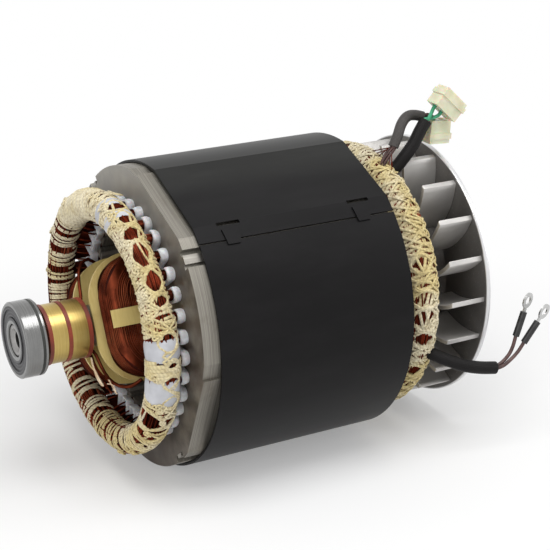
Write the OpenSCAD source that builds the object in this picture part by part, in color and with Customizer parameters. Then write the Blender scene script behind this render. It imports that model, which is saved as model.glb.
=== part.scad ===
// Single-phase alternator for an engine generator: stator in a snap-on cover band, salient two-pole
// rotor with slip rings and a ball bearing, and a cast fan on the drive end. The shaft lies along X,
// the bearing's outer face is at X = 0 and the drive end points to +X.

/* [Lamination stack] */
// Outside diameter of the stator stack
stack_od = 190; // [186:0.5:196]
// Bore of the stator stack
stack_bore = 118; // [116:0.5:120]
// Length of the stator stack along the shaft
stack_len = 140; // [100:1:180]
// Depth to which each of the four flats is cut into the round stack
flat_cut = 5.3; // [4:0.1:6.5]
// Position of the first flat around the stack, in degrees from +Y
flat_angle = 23; // [21:0.5:25]
// Front face of the stack, measured from the bearing's outer face
stack_front = 80; // [78:0.5:90]
// Width of each through-bolt notch
notch_w = 11; // [8:0.5:12]
// Depth of each through-bolt notch
notch_depth = 4.5; // [3:0.5:5]
// Angle from a flat's middle to its bolt notch
notch_offset = 27; // [26:0.5:29]
// Depth of the weld ramp cut beside each flat
weld_depth = 2.4; // [1:0.1:3]
// Angle that a weld ramp takes up around the stack
weld_turn = 6.3; // [4:0.1:8]

/* [Slots] */
// Number of winding slots
slot_count = 36; // [24:4:36]
// Width of a slot's mouth
slot_mouth = 3; // [2.2:0.1:3.4]
// Width of a slot just behind its mouth
slot_inner_w = 5.6; // [5:0.1:6]
// Width of a slot at its rounded bottom
slot_outer_w = 7.6; // [7:0.1:8]
// Depth of the tooth tips
tip_depth = 2; // [1.5:0.1:2.5]
// Depth from the bore to the centre of the slot's round bottom
slot_depth = 13.4; // [12:0.2:14]
// Wall of a slot liner
liner_wall = 0.5; // [0.3:0.05:0.7]
// How far the liners stand out of the stack
cuff_len = 4; // [2:0.2:4.4]
// Extra thickness of the folded cuff at a liner's end
cuff_fold = 0.7; // [0.4:0.1:0.9]

/* [End windings] */
// Radius of the front end winding's middle line
front_ring_r = 73.8; // [72:0.1:75]
// Radius of the rear end winding's middle line
rear_ring_r = 77.5; // [76:0.1:79]
// Radius of the front end winding's bundle
front_bundle_r = 7.8; // [7:0.1:9]
// Radius of the rear end winding's bundle
rear_bundle_r = 9.2; // [8:0.1:10]
// Distance from the stack's face to the middle of the front end winding
front_ring_gap = 18.1; // [17:0.1:22]
// Distance from the stack's face to the middle of the rear end winding
rear_ring_gap = 21.3; // [19:0.1:23]
// Tilt of the front end winding against the stack's face
front_ring_tilt = 1.5; // [0:0.1:3.4]
// Diameter of the lacing cord
lace_d = 1.8; // [1.2:0.1:2]
// Wall of the insulating sleeves on the bundle
patch_wall = 0.5; // [0.3:0.1:0.6]

/* [Cover band] */
// Clearance between the stack and the cover band round it
cover_gap = 0.6; // [0.5:0.1:1]
// Clearance between the stack's flats and the cover band
cover_flat_gap = 1.8; // [0.6:0.1:2.4]
// Wall of the cover band
cover_wall = 1.4; // [1:0.1:1.5]
// How far the stack shows ahead of the band
cover_setback = 10.5; // [6:0.5:20]
// Length of the band along the shaft
cover_len = 132.5; // [90:0.5:170]
// Depth to which the band is pressed flat where the machine lies on it
rest_press = 0.5; // [0.3:0.05:0.6]
// Angle of the band's joint, from +Y
seam_angle = 136.5; // [134:0.5:138]
// Width of each hook tab at its root
hook_w = 12; // [8:0.5:14]
// Width of each hook tab at its end
hook_end_w = 8; // [5:0.5:10]
// Length of each hook tab around the band
hook_len = 10; // [8:0.5:12]
// Thickness of the hook tabs
hook_wall = 0.9; // [0.6:0.1:1.2]

/* [Bearing] */
// Outside diameter of the bearing
bearing_od = 47; // [42:1:52]
// Bore of the bearing
bearing_bore = 20; // [20:0.5:21]
// Width of the bearing
bearing_w = 14; // [12:0.5:15]

/* [Slip rings] */
// Outside diameter of the slip rings
slip_od = 36.8; // [34:0.2:40]
// Width of the front slip ring
slip_front_w = 9.5; // [8:0.5:10]
// Width of the rear slip ring
slip_rear_w = 10.5; // [8:0.5:11]
// Radial thickness of a slip ring
slip_wall = 3; // [2:0.1:3.5]

/* [Rotor] */
// Running gap between the rotor and the stack's bore
air_gap = 0.8; // [0.5:0.1:1.2]
// Rest position of the pole axis, from +Y
pole_angle = 155; // [150:1:160]
// Width of the neck between the two poles
neck_w = 46; // [42:0.5:48]
// Distance from the axis to the underside of a pole shoe
shoe_u = 41.4; // [40:0.2:42]
// Half width of the rotor's winding
coil_v = 38; // [36:0.5:38.5]
// How far the rotor's winding stands out of the core at each end
coil_out = 30; // [24:0.5:32]
// Diameter of the shaft inside the rotor core
shaft_d = 32; // [30:0.5:34]
// Diameter of the through-bolt hole in the shaft
bolt_hole_d = 10.5; // [9:0.5:12]
// Depth of the countersink at the bearing's end of the bolt hole
countersink = 2; // [1:0.25:3]
// Width of a coil retaining bar
bar_w = 10.6; // [8:0.2:12]

/* [Fan] */
// Outside diameter of the fan disc
fan_od = 176; // [168:1:178]
// Thickness of the fan disc
fan_disc_t = 3; // [2.5:0.1:4]
// Number of fan blades
blade_count = 20; // [16:1:24]
// Length of a blade along the shaft
blade_len = 25; // [20:0.5:30]
// Thickness of a blade at its root
blade_t = 3; // [2.4:0.1:3.4]
// Radius from which the blades start
blade_inner_r = 50; // [46:0.5:54]
// Clearance between the rear end winding's lacing and the blades
fan_gap = 6.6; // [5:0.2:12]
// Turn of the first blade from +Y
blade_turn = 5.9; // [0:0.1:18]

/* [Leads] */
// Diameter of the sleeve on the terminal leads
low_sleeve_d = 8.2; // [6:0.1:8.6]
// Diameter of the sleeve on the green leads
black_sleeve_d = 8.2; // [6:0.1:8.6]
// Diameter of the sleeve on the brown leads
grey_sleeve_d = 6.8; // [5:0.1:7.2]
// Diameter of the bundle of brown winding wires
brown_wires_d = 4.4; // [3:0.1:5]
// Diameter of a terminal lead
terminal_lead_d = 2.4; // [1.6:0.1:2.6]
// Diameter of a green lead
green_lead_d = 2.4; // [1.6:0.1:2.6]
// Diameter of the shrink tubes behind the ring terminals
shrink_d = 4.4; // [3.6:0.1:4.8]
// Outside diameter of a ring terminal's eye
eye_od = 10.6; // [9:0.1:12]
// Hole in a ring terminal's eye
eye_hole_d = 5.3; // [4.3:0.1:6.4]
// Thickness of a ring terminal
eye_t = 0.9; // [0.6:0.1:1.2]
// Wire face and length of the large connector
large_plug = [20, 11, 13.5]; // [8:0.5:24]
// Wire face and length of the small connector
small_plug = [15, 11, 15]; // [8:0.5:24]
// Distance between the ways of a connector
way_pitch = 6.6; // [5:0.2:7]
// Width of a connector's way at the wire face
way_w = 3.8; // [3.2:0.1:4.4]
// Diameter of the leads from the slip rings to the rotor's winding
rotor_lead_d = 2.2; // [1.4:0.1:2.6]

/* [Hidden] */

$fn = 96;
fit = 0.1;             // clearance between pieces that are pressed or slid together
seat = 0.3;            // clearance where a piece lies on another
over = 1;              // how far a cutter runs past the face that it cuts
stack_r = stack_od / 2;
bore_r = stack_bore / 2;
stack_flat = stack_r - flat_cut;
stack_back = stack_front + stack_len;
weld_angle = 1 - acos(stack_flat / stack_r);    // foot of a weld ramp, just inside the flat's edge
rotor_r = bore_r - air_gap;

// Slot outline
slot_pitch = 360 / slot_count;
slot_bottom_r = slot_outer_w / 2;
slot_floor = bore_r + slot_depth;

// End windings
front_ring_x = stack_front - front_ring_gap;
rear_ring_x = stack_back + rear_ring_gap;
ring_lean_angle = 165;          // side of the machine where the front ring stands out furthest
lace_lift = patch_wall + fit + lace_d / 2;      // from the bundle to the middle of the lacing cord
lace_reach = lace_lift + lace_d / 2;
ring_over_y = ring_lean_angle - 90;             // angle on a ring's plane that lies over +Y
sleeve_places = [98, 106.5, 168.5, 186.5];      // where the sleeves start, from +Y
sleeve_turn = 8;

// Cover band
cover_front = stack_front + cover_setback;
cover_inner_r = stack_r + cover_gap;
cover_r = cover_inner_r + cover_wall;
cover_flat = stack_flat + cover_flat_gap + cover_wall;
hook_places = [0.17, 0.84];     // hooks along the band, as shares of its length
hook_side = 1.5;                // room beside a hook in its slot
hook_slant = 1;                 // how far a tab's front edge slants back
seam_gap = 1;
hook_slot_w = 2.4;
hook_slot_turn = 6.6;           // angle from the joint to the slots

// Bearing and slip rings
bearing_r = bearing_od / 2;
inner_ring_r = bearing_bore / 2 + 4.3;
outer_race_r = bearing_r - 4.4;
seal_recess = 0.6;
groove_w = 1.8;                 // groove for the rubber ring in the outer ring
groove_depth = 1.1;
groove_x = bearing_w - 4;
hub_front = bearing_w + 2.2;
hub_flange = 2.6;
hub_rib = 2.6;
hub_r = slip_od / 2 + 0.4;
slip1_x = hub_front + hub_flange;
slip2_x = slip1_x + slip_front_w + hub_rib;
hub_back = slip2_x + slip_rear_w + hub_flange;

// Rotor
shaft_r = shaft_d / 2;
end_shaft_r = bearing_bore / 2 - fit / 4;
hub_bore_r = 11.5;
front_shaft_r = 13;
rear_shaft_r = 15.2;
neck_v = neck_w / 2;
bobbin_wall = 2;
coil_u0 = 15.6;                 // inner face of a pole's winding, from the axis
coil_u1 = shoe_u - seat;        // outer face of a pole's winding
tip_hook = 5.4;                 // how far a shoe's tip hooks down beside the winding
ring_clear = 8.7;               // clearance between the end windings' lacing and the rotor's winding
coil_clear_r = min(front_ring_r - front_bundle_r, rear_ring_r - rear_bundle_r) - lace_reach - ring_clear;
coil_end_round = 26;
coil_edge_round = 9;            // rounding of a winding's ends seen along the pole
flange_lip = 3.6;               // how far a former stands out ahead of its winding
flange_side = 2;                // how far a former stands out beside its winding
flange_out = coil_out + flange_lip;
flange_v = coil_v + flange_side;
bar_t = 2.6;
bar_out = coil_out + 1.6;

// Fan
fan_r = fan_od / 2;
fan_front = rear_ring_x + rear_bundle_r + lace_reach + fan_gap;
fan_disc_front = fan_front + blade_len;
fan_back = fan_disc_front + fan_disc_t;
fan_seat_r = 21;
fan_hub_r = 31;
fan_hub_front = fan_front - 1.5;
fan_rim = 2.6;                  // bare edge of the disc outside the blades
blade_outer_r = fan_r - fan_rim;
blade_bend_r = 60;              // radius to which the blades are bent
blade_tip_t = 1.4;              // thickness of a blade at its tip
shaft_back = fan_back + 3;
taper_len = 48;
taper_mouth_r = 13;
taper_end_r = 9;

// Lead routes, measured from the middle plane of the rear end winding
low_route = [[5.9, -80.1, -29.3], [8.7, -84, -30.5], [14.7, -90, -33], [22.7, -95, -36],
    [33.7, -97, -39], [44.7, -98, -41]];
left_lead_route = [[45.5, -96.8, -41], [50.7, -97, -39], [55.7, -97, -35], [58.7, -97, -30],
    [60.7, -97, -23]];
right_lead_route = [[45.5, -99.4, -41], [50.7, -99.5, -40], [56.7, -99, -37], [61.7, -99, -33],
    [65.7, -99, -28]];
left_shrink = [[60.8, -97, -22.6], [66.2, -97, -7]];
right_shrink = [[66, -99, -27.6], [76.2, -99, -15]];
black_route = [[7.6, -29.6, 79.5], [9.7, -31, 81], [14.7, -33, 88], [20.7, -33, 95],
    [25.7, -32, 102], [30.7, -31, 108]];
brown_route = [[0.3, -28.7, 82.4], [1.7, -29, 86], [6.7, -30, 93]];
grey_route = [[7.1, -30, 94], [10.7, -29, 100], [15.7, -26, 107], [21.7, -23.5, 110.5],
    [27.7, -23, 110.5], [33.2, -24, 109]];
brown_end_route = [[33.5, -24.1, 108.9], [36.7, -24.8, 109], [39, -25.4, 107.8], [39.6, -25.5, 105.2]];
left_green_route = [[31.3, -32.4, 108.8], [33.4, -32.6, 112.5], [35.6, -32.1, 116], [37.4, -32, 118.2]];
right_green_route = [[31.3, -29.6, 108.8], [35.7, -30.4, 109.2], [39.8, -31.8, 110.8], [42.1, -32, 113.6]];
large_plug_at = [41.5, -32, 113.2];     // middle of the large connector's wire face
large_plug_lean = 43;
small_plug_at = [43.2, -25.5, 106.4];   // middle of the small connector's wire face
small_plug_lean = 184;
eye_roll = 20;                          // turn of the ring terminals about their leads

// Leads from the slip rings to the rotor's winding, in the pole's own axes
rotor_lead_route = [[hub_back + 0.4, 2, 14.6], [hub_back + 2.4, 2, 15], [hub_back + 4.2, 2.8, 18.5],
    [hub_back + 5.4, 4.6, 26], [hub_back + 7.6, 7, 34], [hub_back + 12, 10, 39.6],
    [hub_back + 18, 14, 41.4], [hub_back + 24, 19, 38.6]];

// ---------- helpers ----------

// Puts a drawing made in (Y, Z) on the plane at x, extruding towards +X
module at_x(x) {
    translate([x, 0, 0]) rotate([90, 0, 90]) children();
}

// Puts a shape made along Z on the shaft's axis, its Z pointing to +X
module on_shaft(x) {
    translate([x, 0, 0]) rotate([0, 90, 0]) children();
}

// Puts a shape made in the pole's own axes (U across the coil, V along it) in the machine
module on_pole(side) {
    rotate([pole_angle + (side > 0 ? 0 : 180), 0, 0]) children();
}

module tube_x(x0, x1, r0, r1) {
    at_x(x0) linear_extrude(x1 - x0) difference() {
        circle(r1);
        circle(r0);
    }
}

function unit(v) = v / norm(v);
function mix(a, b, t) = a * (1 - t) + b * t;

// Smooth curve through the points of a route
function spline_point(p, i, t) =
    let (n = len(p) - 1,
         a = p[max(i - 1, 0)], b = p[i], c = p[min(i + 1, n)], d = p[min(i + 2, n)])
    b + (c - a) * (t / 2) + (a * 2 - b * 5 + c * 4 - d) * (t * t / 2)
      + (b * 3 - a - c * 3 + d) * (t * t * t / 2);
function smooth_route(p, steps) = [
    for (i = [0 : len(p) - 2]) for (s = [0 : steps - 1]) spline_point(p, i, s / steps),
    p[len(p) - 1]
];
function route_direction(q, i) = unit(q[min(i + 1, len(q) - 1)] - q[max(i - 1, 0)]);

// A cord along a route: one closed tube
module cord(route, d, steps = 2, sides = 8) {
    q = smooth_route(route, steps);
    rings = len(q);
    points = [
        for (i = [0 : rings - 1])
            let (t = route_direction(q, i), n = unit(cross(t, [0, 1, 0])), m = cross(t, n))
            for (k = [0 : sides - 1])
                q[i] + (n * cos(360 * k / sides) + m * sin(360 * k / sides)) * d / 2
    ];
    walls = [
        for (i = [0 : rings - 2]) for (k = [0 : sides - 1])
            [i * sides + k, i * sides + (k + 1) % sides,
             (i + 1) * sides + (k + 1) % sides, (i + 1) * sides + k]
    ];
    start_cap = [for (k = [sides - 1 : -1 : 0]) k];
    end_cap = [for (k = [0 : sides - 1]) (rings - 1) * sides + k];
    polyhedron(points, concat([start_cap], walls, [end_cap]));
}

// Stands a shape made along Z on a point, pointing along a direction
module point_along(p, direction, roll = 0) {
    d = unit(direction);
    translate(p)
        rotate([0, acos(d[2]), atan2(d[1], d[0])])
            rotate([0, 0, roll]) children();
}

// ---------- stator ----------

module slot_outline(inset, mouth) {
    w0 = slot_inner_w / 2 - inset;
    w1 = slot_outer_w / 2 - inset;
    union() {
        polygon([[bore_r + tip_depth + inset, -w0], [slot_floor, -w1],
                 [slot_floor, w1], [bore_r + tip_depth + inset, w0]]);
        translate([slot_floor, 0]) circle(w1, $fn = 24);
        if (mouth) translate([bore_r - over, -slot_mouth / 2])
            square([tip_depth + over + 0.5, slot_mouth]);
    }
}

module at_slots() {
    for (i = [0 : slot_count - 1]) rotate(i * slot_pitch) children();
}

module stack_outline() {
    difference() {
        intersection() {
            circle(stack_r);
            rotate(flat_angle) square(2 * stack_flat, center = true);
        }
        circle(bore_r);
        for (k = [0 : 3]) rotate(flat_angle + notch_offset + 90 * k)
            translate([stack_r - notch_depth, -notch_w / 2])
                square([notch_depth + over, notch_w]);
        for (k = [0 : 3]) rotate(flat_angle + 90 * k) weld_ramp();
        at_slots() slot_outline(0, true);
    }
}

// Ramp that slopes in from the round side of the stack to the weld at a flat's edge
module weld_ramp() {
    corners = [[stack_r - weld_depth, weld_angle], [stack_r + over, weld_angle],
        [stack_r + over, weld_angle - weld_turn], [stack_r, weld_angle - weld_turn]];
    polygon([for (c = corners) c[0] * [cos(c[1]), sin(c[1])]]);
}

module stator_core() {
    color("#8b857c") at_x(stack_front) linear_extrude(stack_len) stack_outline();
}

// Steel strips that clamp the laminations, one in each bolt notch
module core_cleats() {
    color("#a5a19a") at_x(stack_front) linear_extrude(stack_len)
        for (k = [0 : 3]) rotate(flat_angle + notch_offset + 90 * k)
            translate([stack_r - notch_depth + fit, -notch_w / 4])
                square([notch_depth / 2, notch_w / 2]);
}

module liner_wall_outline() {
    difference() {
        slot_outline(fit, false);
        slot_outline(fit + liner_wall, false);
    }
}

module cuff_outline() {
    difference() {
        slot_outline(-cuff_fold, false);
        slot_outline(fit + liner_wall, false);
    }
}

module slot_liners() {
    color("#e4e5ea") union() {
        at_x(stack_front - cuff_len) linear_extrude(stack_len + 2 * cuff_len)
            at_slots() liner_wall_outline();
        at_x(stack_front - cuff_len) linear_extrude(cuff_len - fit) at_slots() cuff_outline();
        at_x(stack_back + fit) linear_extrude(cuff_len - fit) at_slots() cuff_outline();
    }
}

module slot_conductors() {
    color("#7a2f1a") at_x(stack_front) linear_extrude(stack_len)
        at_slots() slot_outline(2 * fit + liner_wall, false);
}

// Middle plane of an end winding: tilted so that the far side stands out furthest
module on_ring(x, tilt) {
    translate([x, 0, 0])
        rotate([180 - ring_lean_angle, 0, 0])
            rotate([0, 0, tilt])
                rotate([0, 90, 0]) children();
}

module end_winding(x, face, ring_r, bundle_r, tilt) {
    leg_in = ring_r - bundle_r + 1;
    union() {
        on_ring(x, tilt) rotate_extrude() translate([ring_r, 0]) circle(bundle_r, $fn = 48);
        at_x(min(x, face)) linear_extrude(abs(face - x)) intersection() {
            at_slots() slot_outline(2 * fit + liner_wall, false);
            difference() {
                circle(stack_r);
                circle(leg_in);
            }
        }
    }
}

module front_end_winding() {
    color("#8c3a20") end_winding(front_ring_x, stack_front, front_ring_r, front_bundle_r, front_ring_tilt);
}

module rear_end_winding() {
    color("#8c3a20") end_winding(rear_ring_x, stack_back, rear_ring_r, rear_bundle_r, 0);
}

// Cord loops tied round the bundle, one between each two slots
module lacing(x, ring_r, bundle_r, tilt) {
    on_ring(x, tilt) for (i = [0 : slot_count - 1])
        rotate(ring_over_y + (i + 0.5) * slot_pitch) translate([ring_r, 0, 0]) rotate([90, 0, 0])
            rotate_extrude($fn = 32) translate([bundle_r + lace_lift, 0]) circle(lace_d / 2, $fn = 16);
}

module front_lacing() {
    color("#e1d7af") lacing(front_ring_x, front_ring_r, front_bundle_r, front_ring_tilt);
}

module rear_lacing() {
    color("#e1d7af") lacing(rear_ring_x, rear_ring_r, rear_bundle_r, 0);
}

// Insulating sleeves over the joints in the bundle
module winding_sleeves() {
    color("#c9cbd2") on_ring(front_ring_x, front_ring_tilt)
        for (a = sleeve_places) rotate([0, 0, ring_over_y + a])
            rotate_extrude(angle = sleeve_turn) translate([front_ring_r, 0]) difference() {
                circle(front_bundle_r + patch_wall + fit / 2, $fn = 48);
                circle(front_bundle_r + fit / 2, $fn = 48);
                translate([-2 * front_bundle_r, 0]) square(4 * front_bundle_r);
            }
}

// ---------- cover band ----------

module band_outline(r, flat, floor_z) {
    intersection() {
        circle(r);
        rotate(flat_angle + 90) translate([-2 * r + flat, -2 * r]) square([2 * r, 4 * r]);
        translate([-2 * r, floor_z]) square(4 * r);
    }
}

module cover_band() {
    color("#262526") difference() {
        at_x(cover_front) linear_extrude(cover_len) difference() {
            band_outline(cover_r, cover_flat, rest_press - cover_r);
            band_outline(cover_inner_r, cover_flat - cover_wall, rest_press - cover_inner_r);
            rotate(seam_angle) translate([cover_inner_r - 8, -seam_gap / 2])
                square([16, seam_gap]);
        }
        for (s = hook_places) translate([cover_front + s * cover_len - hook_w / 2 - hook_side, 0, 0])
            rotate([seam_angle - hook_slot_turn, 0, 0])
                translate([0, cover_inner_r - 8, -hook_slot_w / 2])
                    cube([hook_w + 2 * hook_side, 16, hook_slot_w]);
    }
}

// Hook tabs that close the band's joint, each narrower at its end
module cover_hooks() {
    past = 0.3 * hook_len;      // how far a tab reaches past the joint
    color("#2c2b2c") intersection() {
        tube_x(cover_front, cover_front + cover_len, cover_r + fit, cover_r + fit + hook_wall);
        for (s = hook_places) translate([cover_front + s * cover_len, 0, 0])
            rotate([seam_angle, 0, 0]) translate([0, cover_r + 8, 0]) rotate([90, 0, 0])
                linear_extrude(16) polygon([[-hook_w / 2, past - hook_len], [hook_w / 2, past - hook_len],
                    [hook_end_w - hook_w / 2 + hook_slant, past], [hook_slant - hook_w / 2, past]]);
    }
}

// ---------- rotor ----------

module shaft() {
    color("#9a9c9e") difference() {
        on_shaft(0) rotate_extrude() polygon([
            [bolt_hole_d / 2, 1 + countersink], [bolt_hole_d / 2 + countersink, 1],
            [end_shaft_r - 0.8, 1], [end_shaft_r, 1.8],
            [end_shaft_r, bearing_w + 0.6], [hub_bore_r, bearing_w + 0.6], [hub_bore_r, hub_back + 1],
            [front_shaft_r, hub_back + 2.5], [front_shaft_r, stack_front],
            [shaft_r, stack_front], [shaft_r, stack_back],
            [rear_shaft_r, stack_back], [rear_shaft_r, fan_hub_front - 3],
            [fan_seat_r + 1.5, fan_hub_front - 3], [fan_seat_r + 1.5, fan_hub_front - fit],
            [fan_seat_r, fan_hub_front - fit],
            [fan_seat_r, shaft_back - 1], [fan_seat_r - 1, shaft_back],
            [taper_mouth_r, shaft_back], [taper_end_r, shaft_back - taper_len],
            [bolt_hole_d / 2, shaft_back - taper_len]
        ]);
    }
}

// Window between the two pole shoes, on one side of the neck
module coil_window() {
    polygon([[-shoe_u, neck_v], [shoe_u, neck_v], [shoe_u, coil_v + seat],
             [shoe_u - tip_hook, coil_v + tip_hook], [shoe_u - tip_hook, rotor_r + over],
             [tip_hook - shoe_u, rotor_r + over], [tip_hook - shoe_u, coil_v + tip_hook],
             [-shoe_u, coil_v + seat]]);
}

module rotor_core() {
    color("#5e5a56") rotate([pole_angle, 0, 0]) at_x(stack_front) linear_extrude(stack_len)
        difference() {
            circle(rotor_r);
            circle(shaft_r + fit / 2);
            coil_window();
            mirror([0, 1]) coil_window();
        }
}

// Rounded rectangle in the plane of a pole's coil: X along the shaft, V across the neck
module coil_rect(out, v, round_r) {
    half = stack_len / 2 + out;
    translate([stack_front + stack_len / 2, 0]) union() {
        square([2 * half - 2 * round_r, 2 * v], center = true);
        square([2 * half, 2 * v - 2 * round_r], center = true);
        for (sx = [-1, 1]) for (sv = [-1, 1])
            translate([sx * (half - round_r), sv * (v - round_r)]) circle(round_r, $fn = 64);
    }
}

// Extrudes a drawing made in (X, V) along the pole's own axis, from u0 to u1
module across_pole(u0, u1) {
    rotate([-90, 0, 0]) mirror([0, 1, 0]) translate([0, 0, u0]) linear_extrude(u1 - u0) children();
}

// Side outline of a winding in (X, U), its ends rounded
module coil_side() {
    half = stack_len / 2 + coil_out;
    r = coil_edge_round;
    translate([stack_front + stack_len / 2, 0]) union() {
        translate([-half + r, coil_u0]) square([2 * half - 2 * r, coil_u1 - coil_u0]);
        translate([-half, coil_u0 + r]) square([2 * half, coil_u1 - coil_u0 - 2 * r]);
        for (sx = [-1, 1]) for (u = [coil_u0 + r, coil_u1 - r])
            translate([sx * (half - r), u]) circle(r, $fn = 64);
    }
}

module pole_coil() {
    intersection() {
        across_pole(coil_u0, coil_u1) difference() {
            coil_rect(coil_out, coil_v, coil_end_round);
            coil_rect(bobbin_wall + 2 * fit, neck_v + bobbin_wall + 2 * fit, 2);
        }
        translate([0, 0, -stack_r]) linear_extrude(stack_od) coil_side();
        on_shaft(0) cylinder(r = coil_clear_r, h = shaft_back);
    }
}

module near_pole_coil() {
    color("#7d2a14") on_pole(1) pole_coil();
}

module far_pole_coil() {
    color("#7d2a14") on_pole(-1) pole_coil();
}

// Insulating former of one coil: a plate beside the shaft and a wall round the neck
module coil_bobbin() {
    intersection() {
        difference() {
            union() {
                across_pole(coil_u0 - fit - bobbin_wall, coil_u0 - fit)
                    coil_rect(flange_out, flange_v, coil_end_round + 2);
                across_pole(coil_u0 - fit - bobbin_wall, coil_u1)
                    coil_rect(bobbin_wall + fit, neck_v + bobbin_wall + fit, 2);
            }
            across_pole(0, shoe_u + over)
                coil_rect(fit, neck_v + fit, 2 * fit);
            on_shaft(stack_back) cylinder(r = rear_shaft_r + seat, h = flange_out + over);
        }
        on_shaft(0) cylinder(r = coil_clear_r, h = shaft_back);
    }
}

module near_coil_bobbin() {
    color("#b4a050") on_pole(1) coil_bobbin();
}

module far_coil_bobbin() {
    color("#b4a050") on_pole(-1) coil_bobbin();
}

// Bars that keep the coils' ends from flying out, two on each pole
module coil_retaining_bars() {
    color("#c2ae5e") for (side = [-1, 1]) on_pole(side)
        for (x = [stack_front - bar_out, stack_back])
            translate([x, coil_u1 + fit, -bar_w / 2]) cube([bar_out, bar_t, bar_w]);
}

// Leads from the slip rings' hub to the two windings
module rotor_leads() {
    color("#b9583a") for (side = [-1, 1]) on_pole(side) cord(rotor_lead_route, rotor_lead_d);
}

module slip_ring_hub() {
    color("#8c3c28") on_shaft(0) rotate_extrude() polygon([
        [hub_bore_r + fit / 2, hub_front], [hub_r, hub_front],
        [hub_r, slip1_x - fit], [slip_od / 2 - slip_wall - fit, slip1_x - fit],
        [slip_od / 2 - slip_wall - fit, slip1_x + slip_front_w + fit], [hub_r, slip1_x + slip_front_w + fit],
        [hub_r, slip2_x - fit], [slip_od / 2 - slip_wall - fit, slip2_x - fit],
        [slip_od / 2 - slip_wall - fit, slip2_x + slip_rear_w + fit], [hub_r, slip2_x + slip_rear_w + fit],
        [hub_r, hub_back], [hub_bore_r + fit / 2, hub_back]
    ]);
}

module slip_ring(x, w) {
    tube_x(x, x + w, slip_od / 2 - slip_wall, slip_od / 2);
}

module front_slip_ring() {
    color("#bea046") slip_ring(slip1_x, slip_front_w);
}

module rear_slip_ring() {
    color("#bea046") slip_ring(slip2_x, slip_rear_w);
}

// ---------- fan ----------

// One blade: an arc that leans back from the hub to the rim, thinner at its tip
module blade_outline() {
    tip_shift = (blade_t - blade_tip_t) / 2;
    intersection() {
        difference() {
            translate([blade_inner_r, -blade_bend_r]) circle(blade_bend_r + blade_t / 2);
            translate([blade_inner_r - tip_shift, -blade_bend_r + tip_shift])
                circle(blade_bend_r - blade_t / 2);
        }
        difference() {
            circle(blade_outer_r);
            circle(blade_inner_r);
        }
        translate([0, -blade_bend_r]) square([fan_r, 2 * blade_bend_r]);
    }
}

// Cast disc and hub of the fan
module fan() {
    color("#8c8785") on_shaft(0) rotate_extrude() polygon([
        [fan_seat_r + fit / 2, fan_hub_front], [fan_hub_r - 4, fan_hub_front],
        [fan_hub_r, fan_hub_front + 4], [fan_hub_r + 3, fan_disc_front - 8],
        [fan_hub_r + 12, fan_disc_front],
        [fan_r, fan_disc_front], [fan_r, fan_back], [fan_seat_r + fit / 2, fan_back]
    ]);
}

// Blades of the same casting
module fan_blades() {
    color("#8c8785") at_x(fan_front) linear_extrude(blade_len)
        for (i = [0 : blade_count - 1]) rotate(blade_turn + i * 360 / blade_count) blade_outline();
}

// ---------- bearing ----------

module bearing_inner_ring() {
    color("#b4b8bc") on_shaft(0) rotate_extrude() polygon([
        [bearing_bore / 2 + 0.6, 0], [inner_ring_r, 0], [inner_ring_r, bearing_w],
        [bearing_bore / 2 + 0.6, bearing_w], [bearing_bore / 2, bearing_w - 0.6],
        [bearing_bore / 2, 0.6]
    ]);
}

module bearing_outer_ring() {
    color("#aeb2b6") on_shaft(0) rotate_extrude() polygon([
        [outer_race_r, 0], [bearing_r - 0.8, 0], [bearing_r, 0.8],
        [bearing_r, groove_x], [bearing_r - groove_depth, groove_x],
        [bearing_r - groove_depth, groove_x + groove_w], [bearing_r, groove_x + groove_w],
        [bearing_r, bearing_w - 0.8], [bearing_r - 0.8, bearing_w], [outer_race_r, bearing_w]
    ]);
}

// Rubber ring in the outer ring's groove, which keeps the bearing from turning in its housing
module bearing_o_ring() {
    color("#2a2c2a") tube_x(groove_x + fit, groove_x + groove_w - fit,
        bearing_r - groove_depth + fit, bearing_r - fit / 10);
}

// Two pressed seals that close the gap between the rings
module bearing_seals() {
    seal_t = 1.4;
    color("#55585c") for (x = [seal_recess, bearing_w - seal_recess - seal_t])
        tube_x(x, x + seal_t, inner_ring_r + 0.2, outer_race_r - fit / 2);
}

// ---------- leads ----------

// Puts a lead's route or piece, measured from the rear end winding, in the machine
module at_rear_winding() {
    translate([rear_ring_x, 0, 0]) children();
}

module terminal_lead_sleeve() {
    color("#1c1c1d") at_rear_winding() cord(low_route, low_sleeve_d);
}

module left_terminal_lead() {
    color("#3c2420") at_rear_winding() cord(left_lead_route, terminal_lead_d);
}

module right_terminal_lead() {
    color("#3c2420") at_rear_winding() cord(right_lead_route, terminal_lead_d);
}

module shrink_tube(ends) {
    point_along(ends[0], ends[1] - ends[0])
        cylinder(d = shrink_d, h = norm(ends[1] - ends[0]), $fn = 32);
}

module left_shrink_tube() {
    color("#1c1c1d") at_rear_winding() shrink_tube(left_shrink);
}

module right_shrink_tube() {
    color("#1c1c1d") at_rear_winding() shrink_tube(right_shrink);
}

// Crimped eye that stands on the end of a shrink tube
module ring_terminal(ends, roll) {
    neck = 3;
    neck_w = 3.2;
    eye_z = neck + eye_od / 2 - 0.6;
    point_along(ends[1], ends[1] - ends[0], roll) difference() {
        union() {
            translate([-neck_w / 2, -eye_t / 2, 0]) cube([neck_w, eye_t, neck]);
            translate([0, eye_t / 2, eye_z]) rotate([90, 0, 0])
                cylinder(d = eye_od, h = eye_t, $fn = 48);
        }
        translate([0, over + eye_t / 2, eye_z]) rotate([90, 0, 0])
            cylinder(d = eye_hole_d, h = eye_t + 2 * over, $fn = 48);
    }
}

module left_ring_terminal() {
    color("#c8c8c8") at_rear_winding() ring_terminal(left_shrink, eye_roll);
}

module right_ring_terminal() {
    color("#c8c8c8") at_rear_winding() ring_terminal(right_shrink, eye_roll);
}

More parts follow.
